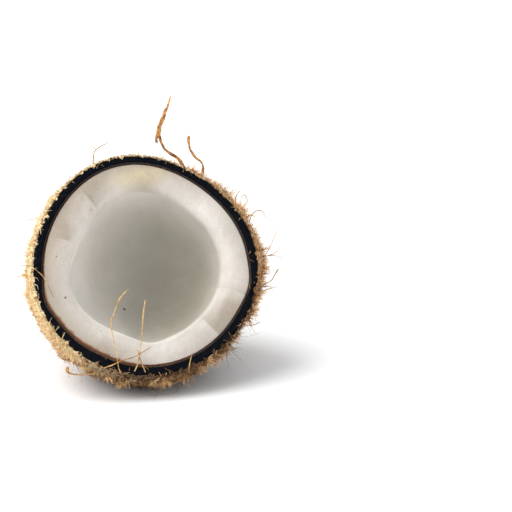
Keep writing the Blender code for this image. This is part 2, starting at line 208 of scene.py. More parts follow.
class StudioForm(bpy.types.PropertyGroup):
    azimuth: angular("Azimuth", "Camera's turn from straight ahead", -13)
    elevation: angular("Elevation", "Camera's height angle", 17)
    distance: millimetres("Distance", "Camera to the cut face", 900.0)
    frame_width: millimetres("Frame width", "Width that the picture covers at the cut face", 242.8)
    shift_right: millimetres("Aim right", "How far right of the nut the camera aims", 52.3)
    shift_up: millimetres("Aim up", "How far above the nut's centre the camera aims", 4.2)
    key_strength: FloatProperty(name="Key", description="Soft light from above and left", default=3.1, min=0.0)
    key_spread: angular("Key spread", "Angle that the key light covers", 60)
    fill: FloatProperty(name="Fill", description="Brightness of the surroundings", default=0.80, min=0.0)


# The nut's own frame

def lay_down():
    """The matrix that takes the nut's own frame to the world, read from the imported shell."""
    tilt = bpy.context.scene.nut_form.tilt
    normal = Vector((0.0, -math.cos(tilt), math.sin(tilt)))
    pole = min((vertex.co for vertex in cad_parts["shell"].data.vertices), key=normal.dot)
    centre = pole + normal * bpy.context.scene.nut_form.shell_depth
    return Matrix.Translation(centre) @ Matrix.Rotation(math.pi / 2 - tilt, 4, "X")


def fade(z, reach):
    return min(1.0, max(0.0, 1.0 + z / reach))


def wrapped(turn):
    """The same direction between minus and plus half a turn."""
    return (turn + math.pi) % (2 * math.pi) - math.pi


def bumps(places, turn):
    """The sum of soft bumps round the nut, given as (size, direction and spread in degrees)."""
    total = 0.0
    for size, centre, spread in places:
        total += size * math.exp(-((wrapped(turn - math.radians(centre)) / math.radians(spread)) ** 2))
    return total


def lobes(turn, z):
    """How much wider than round the nut is in this direction."""
    corners = CARPELS[0] * math.cos(3 * (turn - CARPELS[1]))
    flats = FLATS[0] * math.cos(4 * (turn - FLATS[1]))
    return (corners + flats) * fade(z, LOBE_FADE)


def hollow_shape(form, turn, z):
    """How much wider than round the hollow is in this direction."""
    waves = ((1, HOLLOW_SHIFT), (2, HOLLOW_OVAL), (3, HOLLOW_CORNERS), (4, HOLLOW_FLATS))
    wide = sum(size * math.cos(count * (turn - start)) for count, (size, start) in waves)
    return (wide + bumps(CORNER, turn)) * fade(z, form.hollow_depth)


def thinned(turn, z):
    """How much wider the layers inside the shell are where its cut is thin."""
    return bumps(SHELL_CUTS, turn) * fade(z, CUT_FADE)


class CoatShape:
    """The fibre coat's side: an ellipsoid to where it meets the surface, then a tail that droops to lie on it."""

    def __init__(self, form):
        self.form = form
        slope = math.tan(form.tilt)
        ratio = slope * form.husk_depth / form.husk_radius
        self.slope = slope
        self.touch = form.husk_depth * ratio / math.hypot(1.0, ratio)
        self.touch_radius = form.husk_radius * math.sqrt(1.0 - (self.touch / form.husk_depth) ** 2)
        self.run = form.tail_depth - self.touch
        self.bend = (self.touch_radius - slope * self.run - form.tail_radius) / self.run**2
        self.height = self.touch_radius * math.cos(form.tilt) + self.touch * math.sin(form.tilt) - form.press
        self.upward = Vector((0.0, math.cos(form.tilt), math.sin(form.tilt)))

    def section(self, depth):
        """(radius, droop) of the coat at this depth behind the cut."""
        form = self.form
        if depth <= self.touch:
            chamfer = 0.0010 * max(0.0, 1.0 - depth / 0.0020)
            return form.husk_radius * math.sqrt(1.0 - (depth / form.husk_depth) ** 2) - chamfer, 0.0
        past = min(depth, form.tail_depth) - self.touch
        droop = self.bend * past**2
        arch = form.tail_arch * math.sin(math.pi * past / self.run) ** 2
        return self.touch_radius - self.slope * past - droop - arch, droop

    def ridges(self, angle, depth):
        form = self.form
        back = min(1.0, depth / form.tail_depth)
        sway = 0.5 * math.sin(4.0 * back + 2 * angle) + 0.9 * back
        first, second = RIDGE_COUNTS
        crest = 0.6 * abs(math.sin(first / 2 * angle + 1.5 * sway)) + 0.4 * abs(math.sin(second / 2 * angle - sway))
        size = form.ridge_rim + (form.ridge_body - form.ridge_rim) * min(1.0, depth / self.touch)
        return size * (1.0 - 2.0 * crest) + form.lump * math.sin(7 * angle + 3.0) * math.sin(22 * back)

    def worn(self, angle, depth):
        return self.form.worn_depth * bumps(WORN_PLACES, angle) * fade(-depth, self.form.worn_reach)

    def room(self, angle, depth):
        """The least radius that still covers the shell."""
        form = self.form
        past = min(1.0, depth / (form.shell_depth + form.gap))
        return (form.shell_radius + 1.6 * form.gap) * math.sqrt(1.0 - past**2) * (1.0 + lobes(angle, -depth))

    def point(self, angle, depth, lift=0.0):
        radius, droop = self.section(depth)
        side = radius * (1.0 + lobes(angle, -depth)) - self.worn(angle, depth) + self.ridges(angle, depth) + lift
        side = max(side, self.room(angle, depth))
        return self.pressed(Vector((side * math.cos(angle), side * math.sin(angle) - droop, -depth - self.form.gap)))

    def pressed(self, point):
        height = self.height + point.dot(self.upward)
        return point - self.upward * height if height < 0.0 else point


# Meshes

def new_piece(name, points, faces):
    """A mesh object at the origin, taken from the nut's own frame to the world."""
    mesh = bpy.data.meshes.new(name)
    mesh.from_pydata(points, [], faces)
    mesh.transform(lay_down())
    mesh.update()
    mesh.shade_smooth()
    piece = bpy.data.objects.new(name, mesh)
    bpy.context.scene.collection.objects.link(piece)
    return piece


def lathe(profile, steps):
    """Points and faces of a closed body of revolution; profile is (radius, z) from one pole to the other."""
    points = [Vector((0.0, 0.0, profile[0][1]))]
    for radius, z in profile[1:-1]:
        for i in range(steps):
            angle = 2 * math.pi * i / steps
            points.append(Vector((radius * math.cos(angle), radius * math.sin(angle), z)))
    points.append(Vector((0.0, 0.0, profile[-1][1])))
    last = len(points) - 1
    rings = len(profile) - 2
    faces = []
    for i in range(steps):
        j = (i + 1) % steps
        faces.append((0, 1 + j, 1 + i))
        for ring in range(rings - 1):
            a = 1 + ring * steps
            b = a + steps
            faces.append((a + i, a + j, b + j, b + i))
        end = 1 + (rings - 1) * steps
        faces.append((last, end + i, end + j))
    return points, faces


def arc(radius, depth, steps):
    """A quarter ellipse from the rim down to the pole."""
    turns = [math.pi / 2 * i / steps for i in range(steps + 1)]
    return [(radius * math.cos(a), -depth * math.sin(a)) for a in turns]


def between(first, last, count):
    """Evenly spaced profile points between two, without either."""
    return [
        tuple(start + (end - start) * i / (count + 1) for start, end in zip(first, last))
        for i in range(1, count + 1)
    ]


def eased(share):
    """A soft step from 0 to 1."""
    share = max(0.0, min(1.0, share))
    return share * share * (3.0 - 2.0 * share)


def rough(point, scale, octaves=4):
    return noise.fractal(point * scale, 0.8, 2.1, octaves, noise_basis="PERLIN_ORIGINAL")


def write_attributes(piece, marks):
    """Writes lists of values as point attributes. A list three times as long as the points holds vectors."""
    for name, values in marks.items():
        is_vector = len(values) == 3 * len(piece.data.vertices)
        written = piece.data.attributes.new(name, "FLOAT_VECTOR" if is_vector else "FLOAT", "POINT")
        written.data.foreach_set("vector" if is_vector else "value", values)


def break_height(angle):
    """Height of the broken face in this direction: straight slopes between its creases."""
    degrees = math.degrees(angle)
    for (start, low), (end, high) in zip(BREAKS, BREAKS[1:]):
        if start <= degrees <= end:
            return (low + (high - low) * (degrees - start) / (end - start)) / 1000
    return 0.0


def leaning(angle, across):
    """How much painted shade the meat gets where a facet of the break leans away: sharp at its crease, then fading.
    """
    degrees = math.degrees(angle)
    total = 0.0
    for crease, reach, strength, start in FACETS:
        past = (crease - degrees) if reach < 0 else (degrees - crease)
        past = (past + 180.0) % 360.0 - 180.0
        if 0.0 <= past <= abs(reach):
            total += strength * (1.0 - past / abs(reach)) * min(1.0, max(0.0, (across - start) / 0.4))
    return total


def meat_size(form):
    shrink = form.shell_wall + form.skin_wall + 2 * form.gap
    return form.shell_radius - shrink, form.shell_depth - shrink


def build_meat(form):
    """The white meat: a bowl whose broken face slopes to a soft lip round the hollow."""
    outer = meat_size(form)
    turns = [math.pi / 2 * i / 5 for i in range(6)]
    lip = [
        (form.hollow_radius + form.lip_round * (1 - math.cos(a)), -form.lip_round * (1 - math.sin(a))) for a in turns
    ]
    profile = arc(form.hollow_radius, form.hollow_depth, 40)[::-1][:-1] + lip + between(lip[-1], (outer[0], 0.0), 22)
    profile += [(outer[0], -0.00015)] + arc(*outer, 24)[1:]
    points, faces = lathe(profile, form.steps)
    marks = {name: [] for name in ("around", "edge", "yellow", "inner", "dull", "bright", "face")}
    for point in points:
        angle = math.atan2(point.y, point.x)
        radius = math.hypot(point.x, point.y)
        flat = Vector(point)
        from_outside = max(0.0, 1.0 - math.hypot(radius / outer[0], point.z / outer[1]))
        from_hollow = max(0.0, math.hypot(radius / form.hollow_radius, point.z / form.hollow_depth) - 1.0)
        inward = from_outside / max(1e-9, from_outside + from_hollow)
        in_hollow = inward > 0.9
        near_cut = fade(point.z, form.hollow_depth)

        # Painted light and shade of the hollow: painted shade deepest away from its lit side and starting at the lip
        # on one side, painted light on the wall that faces the light
        sunk = -point.z / (form.hollow_depth * (0.85 + 0.20 * math.cos(angle - DEEP_ANGLE)))
        hollow_lit_side = eased((0.4 - radius * math.cos(angle - DEEP_SIDE) / form.hollow_radius) / 1.4)
        lip_shade = 0.52 * (0.5 + 0.5 * math.cos(angle - LIP_SHADE_ANGLE))
        deep = (lip_shade + (1.0 - lip_shade) * eased(sunk)) * (1.0 - 0.85 * hollow_lit_side)
        lit = radius * math.cos(angle - BRIGHT_ANGLE) / form.hollow_radius
        shaded = max(0.0, math.cos(angle - SHADED_ANGLE)) * min(1.0, 2.5 * radius / form.hollow_radius)
        marks["inner"].append(deep if in_hollow else lip_shade * max(0.0, (inward - 0.6) / 0.4))
        marks["bright"].append(0.55 * eased((lit - 0.30) / 0.6) if in_hollow else 0.0)

        # The broken face: painted shade outwards and on facets that lean away from the light, painted light on facets
        # that lean towards it, brown at its edge, yellowed in one patch
        across = max(0.0, (radius - form.hollow_radius) / (outer[0] - form.hollow_radius))
        outwards = 0.27 + 0.60 * across * (1.0 + 0.4 * math.cos(angle - OUTER_SHADE_ANGLE))
        painted_meat_shade = max(0.0, min(1.0, outwards + 0.77 * leaning(angle, across)))
        # On the hollow's wall: painted shade away from its lit side and on its shaded side
        marks["dull"].append(painted_meat_shade if point.z > -0.002 else 0.25 * (1.0 - hollow_lit_side) + 0.34 * shaded)
        marks["face"].append(fade(point.z, 0.004))
        marks["around"] += [math.cos(angle), math.sin(angle), 1.4 * inward]
        browned = BROWN_EDGE[0] + BROWN_EDGE[1] * max(0.0, math.cos(angle - BROWN_ANGLE)) ** 2
        marks["edge"].append(0.0 if inward > 0.6 else 1.0 - min(1.0, (outer[0] - radius) / browned))
        stain = sum(math.exp(-((flat - spot) / 0.0045).length_squared) for spot in YELLOW_SPOTS)
        marks["yellow"].append(min(1.0, stain))

        # The form: uneven round, sloped to the lip, creased where it broke and faintly lumpy
        outside = lobes(angle, point.z) + thinned(angle, point.z)
        factor = 1.0 + (1.0 - inward) * outside + inward * hollow_shape(form, angle, point.z)
        soft = 1.0 - max(0.0, -math.sin(angle)) ** 2
        on_face = near_cut * min(1.0, 5 * (1.0 - inward)) * min(1.0, 12 * from_outside)
        point.x *= factor
        point.y *= factor
        point.z -= form.lip_drop * soft * inward**3 * near_cut
        point.z -= form.crown * (1.0 - min(1.0, 1.6 * inward)) ** 2 * near_cut
        point.z += break_height(angle) * on_face * (0.35 + 0.65 * min(1.0, 2 * inward))
        point.z += 0.00022 * rough(flat, 260) * min(1.0, 12 * from_outside)
        if inward > 0.98 and point.z < -0.003:
            point -= point.normalized() * 0.0005 * rough(flat, 60, 3)
    piece = new_piece("coconut_meat", points, faces)
    write_attributes(piece, marks)
    return piece


def build_bowl(name, form, outer, inner, edge_rough, face_rings, thin_outside, sunk=0.0):
    """A nested wall between two half ellipsoids, with a rough cut edge that may be sunk."""
    profile = arc(*inner, 30)[::-1] + between((inner[0], 0.0), (outer[0], 0.0), face_rings) + arc(*outer, 30)
    points, faces = lathe(profile, form.steps)
    warm = []
    for point in points:
        angle = math.atan2(point.y, point.x)
        size = math.hypot(math.hypot(point.x, point.y) / outer[0], point.z / outer[1])
        inside = max(0.0, min(1.0, (1.0 - size) * outer[0] / (outer[0] - inner[0])))
        factor = 1.0 + lobes(angle, point.z) + thinned(angle, point.z) * (1.0 if thin_outside else inside)
        warm.append(max(0.0, math.cos(min(math.pi / 2, 1.4 * abs(wrapped(angle - WARM_ANGLE))))))
        flat = Vector(point)
        point.x *= factor
        point.y *= factor
        at_cut = fade(point.z, 0.0025)
        point.z -= sunk * at_cut
        point.z += edge_rough * (rough(flat, 420) + 0.6 * rough(flat, 1400)) * at_cut
        sideways = edge_rough * 0.7 * rough(flat + Vector((0.3, 0.0, 0.0)), 600) * at_cut
        middle = (inner[0] + outer[0]) / 2
        toward = 1.0 if math.hypot(flat.x, flat.y) < middle else -1.0
        point.x += math.cos(angle) * toward * abs(sideways)
        point.y += math.sin(angle) * toward * abs(sideways)
    piece = new_piece(name, points, faces)
    write_attributes(piece, {"warm": warm})
    return piece


def build_felt(form):
    """The body of the fibre coat: matted felt with drawn-back bundles, hollowed for the shell."""
    coat = CoatShape(form)
    steps = form.felt_steps
    turn = lay_down().to_3x3()
    room = (form.shell_radius + form.gap, form.shell_depth + form.gap)
    depths = [form.tail_depth * (i / 96) ** 1.15 for i in range(97)]
    end = coat.section(form.tail_depth)[0]
    profile = [(0.0, -form.tail_depth - 0.0024), (0.55 * end, -form.tail_depth - 0.0018)]
    profile += [(coat.section(depth)[0], -depth) for depth in reversed(depths)]
    rim_radius = profile[-1][0]
    profile += between((rim_radius, -0.0003), (room[0], -0.0003), 3) + arc(*room, 16)
    points, faces = lathe(profile, steps)
    outer_count = 1 + steps * (len(depths) + 1)
    proud = [0.5] * len(points)
    flow = [Vector((0.0, 0.0, 0.0))] * len(points)
    where = {name: [0.0] * len(points) for name in ("body", "rim", "tail", "pale", "tuft", "low", "wisp")}
    source = random.Random(23)
    for i, point in enumerate(points):
        angle = math.atan2(point.y, point.x)
        depth = -point.z
        flat = Vector(point)
        # Painted light on the coat's left side, which faces the key light
        lit_side = 0.5 + 0.5 * math.cos(angle - LIT_SIDE_ANGLE)
        # Painted shade under the nut
        where["low"][i] = eased((math.cos(angle - UNDER_SHADE_ANGLE) - 0.35) / 0.5)
        if i >= outer_count:
            # Painted light on the lit side of the felt's inner face
            where["pale"][i] = 0.4 + 0.6 * lit_side
            factor = 1.0 + lobes(angle, point.z)
            over = max(0.0, rough(flat, 380, 3) - 0.08) * 0.0022 if flat.z > -0.0005 else 0.0
            factor *= 1.0 - over / form.shell_radius
            points[i] = Vector((point.x * factor, point.y * factor, min(point.z, -form.gap)))
            if i < outer_count + 4 * steps:
                points[i].z += 0.0007 * rough(flat, 500) + 1.2 * over - 0.0002
            continue
        if depth > form.tail_depth + 1e-6:
            points[i] = coat.pressed(Vector((point.x, point.y - coat.section(depth)[1], point.z)))
            continue
        stretched = Vector((flat.x, flat.y, flat.z * 0.45))
        matted = 1.0 - 2.0 * abs(rough(stretched, 330, 3))
        crumbs = rough(flat, 900, 3)
        lift = 0.0006 * matted + 0.0007 * crumbs - 0.0003
        points[i] = coat.point(angle, depth, lift * min(1.0, 0.5 + depth / 0.004))
        proud[i] = 0.5 + 0.25 * matted + 0.5 * crumbs
        ahead = coat.point(angle, depth, 0.0) - coat.point(angle, depth + 0.003, 0.0)
        flow[i] = turn @ -ahead.normalized()
        bare = coat.worn(angle, depth) / form.worn_depth
        where["body"][i] = 1.0 - 0.95 * min(1.0, bare) * fade(-depth, 0.018)
        where["rim"][i] = max(0.0, 1.0 - depth / 0.010) * (1.0 - 0.97 * bare)
        where["tail"][i] = max(0.0, (depth - 0.070) / 0.020)
        # Paler near the cut, with painted light reaching further back on the lit side
        where["pale"][i] = max(0.0, 1.0 - depth / (0.006 + 0.018 * lit_side**2)) * (0.5 + 0.5 * lit_side)
        tufted = 0.0002 < depth < 0.0060 and source.random() < 0.030 * (1.2 - lit_side)
        where["tuft"][i] = 1.0 - bare if tufted else 0.0
        aside = min(abs(wrapped(angle - math.radians(turn))) for turn in WISP_ANGLES)
        where["wisp"][i] = 1.0 if 0.0005 < depth < 0.0060 and aside < math.radians(2.2) else 0.0
    piece = new_piece("coconut_felt", points, faces)
    write_attributes(piece, {"proud": proud, "flow": [c for vector in flow for c in vector], **where})
    return piece


def tube(points, faces, path, sides=5):
    """Adds a closed tapering tube along (point, radius) pairs."""
    first = len(points)
    spots = [spot for spot, _radius in path]
    reference = Vector((0.31, 0.17, 0.93))
    for i, (spot, radius) in enumerate(path):
        along = (spots[min(i + 1, len(path) - 1)] - spots[max(i - 1, 0)]).normalized()
        across = along.cross(reference).normalized()
        other = along.cross(across)
        for k in range(sides):
            turn = 2 * math.pi * k / sides
            points.append(spot + (across * math.cos(turn) + other * math.sin(turn)) * radius)
    faces.append(tuple(range(first, first + sides))[::-1])
    faces.append(tuple(range(len(points) - sides, len(points))))
    for ring in range(len(path) - 1):
        for k in range(sides):
            low = first + ring * sides + k
            beside = first + ring * sides + (k + 1) % sides
            faces.append((low, beside, beside + sides, low + sides))


def smoothed(path, steps):
    """(point, radius) pairs along a smooth curve through the given millimetre places."""
    spots = [(Vector((x, y, z)) / 1000, radius / 1000) for x, y, z, radius in path]
    ends = [spots[0], *spots, spots[-1]]
    smooth = []
    for i in range(len(spots) - 1):
        before, start, end, after = (spot for spot, _radius in ends[i:i + 4])
        for k in range(steps):
            t = k / steps
            place = 0.5 * (
                2 * start + (end - before) * t + (2 * before - 5 * start + 4 * end - after) * t**2
                + (3 * start - before - 3 * end + after) * t**3
            )
            smooth.append((place, spots[i][1] + (spots[i + 1][1] - spots[i][1]) * t))
    return smooth + [spots[-1]]


def wandering(point):
    """A wander read at a place, the same in every run: noise_vector takes an offset from the clock instead."""
    return Vector([noise.noise(point + Vector((0.0, 0.0, 7.3 * axis))) for axis in range(3)])


def rooted_fibre(points, faces, path, strands, source):
    """A fibre of several fine strands twisted loosely together, each with its own wander."""
    smooth = smoothed(path, 6)
    for strand in range(strands):
        phase = 2 * math.pi * strand / strands + source.uniform(-0.4, 0.4)
        wander = source.uniform(0.0, 9.0)
        run = []
        for i, (spot, radius) in enumerate(smooth):
            turn = phase + 0.35 * i
            apart = radius * (0.62 if strands > 1 else 0.0)
            drift = Vector((math.cos(turn), math.sin(turn), 0.5 * math.sin(turn + 1.0))) * apart
            shake = wandering(spot * 220 + Vector((wander, 0.0, 0.0))) * min(0.0004, radius)
            run.append((spot + drift + shake, radius * (0.55 if strands > 1 else 1.0)))
        last = run[-1][1]
        run[-1] = (run[-1][0], 0.35 * last)
        tube(points, faces, run)


def finish_piece(piece, slot, *nodes):
    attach(piece, "root")
    if nodes:
        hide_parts(*nodes)


def finish_body(piece, material, slot, *nodes):
    """Turns every face of a closed mesh outwards, gives it its material, attaches it to the root body and hides the
    imported parts that it stands for.
    """
    work = bmesh.new()
    work.from_mesh(piece.data)
    bmesh.ops.recalc_face_normals(work, faces=work.faces)
    work.to_mesh(piece.data)
    work.free()
    piece.data.materials.append(material)
    finish_piece(piece, slot, *nodes)


# Node helpers

def put(tree, kind, links=None, **settings):
    """Adds a node. links maps an input's name or number to another node's output or to a plain value."""
    node = tree.nodes.new(kind)
    for name, value in settings.items():
        setattr(node, name, value)
    for key, value in (links or {}).items():
        if isinstance(value, bpy.types.NodeSocket):
            tree.links.new(value, node.inputs[key])
        else:
            node.inputs[key].default_value = value
    return node


def maths(tree, operation, *values):
    return put(tree, "ShaderNodeMath", dict(enumerate(values)), operation=operation).outputs[0]


def times(tree, first, second):
    return maths(tree, "MULTIPLY", first, second)


def plus(tree, first, second):
    return maths(tree, "ADD", first, second)


def scaled(tree, value, size, offset):
    """The value times a size, plus an offset."""
    return maths(tree, "MULTIPLY_ADD", value, size, offset)


def vectors(tree, operation, first, second):
    links = {0: first, "Scale" if operation == "SCALE" else 1: second}
    return put(tree, "ShaderNodeVectorMath", links, operation=operation).outputs[0]


def sized(tree, vector, size):
    return vectors(tree, "SCALE", vector, size)


def joined(tree, first, second):
    return vectors(tree, "ADD", first, second)


def blended(tree, factor, first, second, way="MIX"):
    """A mix of a node's colour with another one, which may be plain red, green and blue."""
    if not isinstance(second, bpy.types.NodeSocket):
        second = (*second, 1.0)
    return put(tree, "ShaderNodeMix", {0: factor, 6: first, 7: second}, data_type="RGBA", blend_type=way).outputs[2]


def ramp(tree, factor, *stops):
    """Colours along a value, given as (place, colour, brightness)."""
    node = put(tree, "ShaderNodeValToRGB", {"Fac": factor})
    elements = node.color_ramp.elements
    while len(elements) < len(stops):
        elements.new(0.5)
    for element, (place, shade, brightness) in zip(elements, stops):
        element.position = place
        element.color = (*(brightness * c for c in shade), 1.0)
    return node.outputs["Color"]


def noise_at(tree, place, scale, detail=4.0, roughness=0.55):
    links = {"Vector": place, "Scale": scale, "Detail": detail, "Roughness": roughness}
    return put(tree, "ShaderNodeTexNoise", links).outputs["Fac"]


def attribute(tree, name, output="Fac"):
    return put(tree, "ShaderNodeAttribute", attribute_name=name).outputs[output]


def new_material(name, **constants):
    """A Principled material; returns it with its tree, its shader and its Object coordinates."""
    material = bpy.data.materials.new(name)
    material.use_nodes = True
    tree = material.node_tree
    tree.nodes.clear()
    shader = put(tree, "ShaderNodeBsdfPrincipled", constants)
    put(tree, "ShaderNodeOutputMaterial", {"Surface": shader.outputs[0]})
    place = put(tree, "ShaderNodeTexCoord").outputs["Object"]
    return material, tree, shader, place


def bumped(tree, shader, height, distance, strength=1.0):
    bump = put(tree, "ShaderNodeBump", {"Height": height, "Distance": distance, "Strength": strength})
    tree.links.new(bump.outputs[0], shader.inputs["Normal"])


# Materials

WHITE = (1.0, 1.0, 1.0)


def meat_material(colours):
    """White meat: waxy, faintly streaked from the shell inwards, yellowed at the top and browned at its edge, with
    painted shade in its hollow and on leaning facets and painted light on the hollow's lit wall.
    """
    material, tree, shader, place = new_material(
        "meat", Roughness=0.46, **{"Subsurface Weight": 0.55, "Subsurface Scale": 0.0016, "Specular IOR Level": 0.35}
    )
    shader.inputs["Subsurface Radius"].default_value = (1.0, 0.86, 0.70)
    streaks = noise_at(tree, attribute(tree, "around", "Vector"), 34.0, 3.0)
    patches = noise_at(tree, place, 55.0, 3.0)
    face = attribute(tree, "face")
    streaked = scaled(tree, maths(tree, "SUBTRACT", streaks, 0.5), times(tree, face, 0.6), 0.25)
    mottled = scaled(tree, patches, 0.5, streaked)
    tint = ramp(tree, mottled, (0.36, colours.meat, 0.84), (0.58, colours.meat, 1.0))
    # Painted shade in the hollow: a darker meat colour, deepest down and away from its lit side, starting at the lip
    # on one side
    deep = ramp(tree, patches, (0.35, colours.hollow, 0.94), (0.65, colours.hollow, 1.0))
    tint = blended(tree, attribute(tree, "inner"), tint, deep)
    # Painted light on the hollow's wall that faces the light
    tint = blended(tree, attribute(tree, "bright"), tint, colours.lit_hollow)
    # Painted shade multiplied onto leaning facets, outwards on the ring and on the hollow's shaded wall
    tint = blended(tree, attribute(tree, "dull"), tint, colours.painted_meat_shade, "MULTIPLY")
    yellow = times(tree, times(tree, attribute(tree, "yellow"), noise_at(tree, place, 420.0, 3.0)), 0.75)
    tint = blended(tree, yellow, tint, colours.stain)
    ragged = scaled(tree, noise_at(tree, place, 300.0, 5.0, 0.65), 1.1, -0.55)
    edge = plus(tree, attribute(tree, "edge"), ragged)
    browned = ramp(tree, edge, (0.42, WHITE, 0.0), (0.72, WHITE, 1.0))
    tint = blended(tree, browned, tint, tuple(4.0 * c for c in colours.skin))
    tree.links.new(tint, shader.inputs["Base Color"])
    height = scaled(tree, streaks, 0.6, times(tree, noise_at(tree, place, 900.0, 3.0), 0.4))
    bumped(tree, shader, times(tree, height, scaled(tree, face, 0.9, 0.1)), 0.00035, 0.55)
    return material


def skin_material(colours):
    material, tree, shader, place = new_material("meat_skin", Roughness=0.62)
    fleck = noise_at(tree, place, 520.0, 4.0)
    tint = ramp(tree, fleck, (0.35, colours.skin, 0.5), (0.66, colours.skin, 2.5))
    tint = blended(tree, maths(tree, "SUBTRACT", 1.0, attribute(tree, "warm")), tint, colours.cool, "MULTIPLY")
    tree.links.new(tint, shader.inputs["Base Color"])
    bumped(tree, shader, fleck, 0.0002)
    return material


def shell_material(colours):
    """Near-black shell with a dull cut, greyer nicks and fine grain."""
    material, tree, shader, place = new_material("hard_shell", **{"Roughness": 0.60, "Specular IOR Level": 0.06})
    grain = noise_at(tree, place, 650.0, 5.0)
    nick = ramp(tree, noise_at(tree, place, 1500.0, 2.0), (0.66, WHITE, 0.0), (0.74, WHITE, 1.0))
    tint = ramp(tree, grain, (0.30, colours.shell, 0.6), (0.72, colours.shell, 1.8))
    tint = blended(tree, times(tree, nick, 0.15), tint, colours.nick)
    tree.links.new(tint, shader.inputs["Base Color"])
    bumped(tree, shader, grain, 0.0005)
    return material


def felt_material(colours):
    """Matted felt, with painted shade in its pits and painted light on its crumbs."""
    material, tree, shader, place = new_material("fibre_felt", **{"Roughness": 0.85, "Specular IOR Level": 0.15})
    stretched = put(tree, "ShaderNodeMapping", {"Vector": place, "Scale": (1.0, 0.45, 1.0)})
    matted = noise_at(tree, stretched.outputs[0], 620.0, 5.0, 0.65)
    height = scaled(tree, matted, 0.6, times(tree, noise_at(tree, place, 1700.0, 3.0, 0.6), 0.4))
    proud = scaled(tree, attribute(tree, "proud"), 0.35, times(tree, height, 0.65))
    dark, fibre = colours.fibre_dark, colours.fibre
    # Painted shade in the felt's pits and painted light on its crumbs, following how proud the felt stands
    tint = ramp(tree, proud, (0.36, dark, 0.6), (0.50, dark, 2.2), (0.72, fibre, 0.8))
    # Paler near the cut, and painted light on the lit side
    pale = attribute(tree, "pale")
    proud = scaled(tree, pale, 0.05, proud)
    gold = ramp(tree, proud, (0.44, dark, 1.0), (0.50, fibre, 0.60), (0.58, colours.fibre_pale_and_lit, 1.0))
    tint = blended(tree, pale, tint, gold)
    # Painted shade under the nut
    tint = blended(tree, attribute(tree, "low"), tint, colours.felt_under_shade, "MULTIPLY")
    tree.links.new(tint, shader.inputs["Base Color"])
    bumped(tree, shader, height, 0.0012)
    return material


def fibre_material(name, colours, dark=0.0, light=1.0, rooted=1.0, gilt=0.0, tone=WHITE, dimmed=1.0):
    """Fibres: painted shade towards their roots and under the nut, paler near the cut with painted light on the lit
    side, each with its own shade, lighter and darker in small clumps.
    """
    material, tree, shader, place = new_material(name, **{"Roughness": 0.6, "Specular IOR Level": 0.25})
    shade = scaled(tree, attribute(tree, "shade"), light - dark, dark)
    spread = plus(tree, shade, scaled(tree, noise_at(tree, place, 120.0, 3.0), 0.9, -0.45))
    clumps = noise_at(tree, place, 520.0, 3.0, 0.6)
    felt, fibre, golden = colours.fibre_dark, colours.fibre, colours.fibre_gold
    tint = ramp(
        tree, plus(tree, spread, scaled(tree, clumps, 2.0, -1.0)),
        (0.0, felt, 1.3), (0.35, fibre, 0.62), (0.62, fibre, 0.95), (1.0, golden, 1.0),
    )
    # Paler near the cut, and painted light on the lit side
    pale = plus(tree, attribute(tree, "pale"), gilt)
    spread = plus(tree, times(tree, spread, 0.6), scaled(tree, clumps, 4.2, -2.1))
    gold = ramp(
        tree, scaled(tree, pale, 0.70, spread),
        (0.1, felt, 1.3), (0.40, fibre, 0.85), (0.62, golden, 1.2), (0.88, colours.fibre_pale_and_lit, 1.0),
    )
    tint = blended(tree, pale, tint, gold)
    # Painted shade towards each fibre's root, weaker on the lit side
    root = maths(tree, "SUBTRACT", 1.0, attribute(tree, "tip"))
    dim = times(tree, times(tree, root, rooted), scaled(tree, pale, -0.9, 1.0))
    tint = blended(tree, dim, tint, colours.root, "MULTIPLY")
    # Painted shade under the nut, stronger towards the fibres' roots
    shaded = times(tree, attribute(tree, "low"), scaled(tree, root, 0.4, 0.6 * dimmed))
    tint = blended(tree, shaded, tint, colours.fibre_under_shade, "MULTIPLY")
    tint = blended(tree, 1.0, tint, tone, "MULTIPLY")
    tree.links.new(tint, shader.inputs["Base Color"])
    bumped(tree, shader, noise_at(tree, place, 2600.0, 2.0), 0.0001, 0.4)
    return material


# Fibres grown on the coat

TREE_INPUTS = {
    "Geometry": ("Geometry",), "String": ("Where",), "Material": ("Material",), "Int": ("Seed", "Points"),
    "Float": (
        "Density", "Shortest", "Longest", "Thickness", "Follow", "Scatter", "Stand", "Bend", "Curl", "Wavelength",
        "Lay", "Lift", "Rise", "Droop",
    ),
}


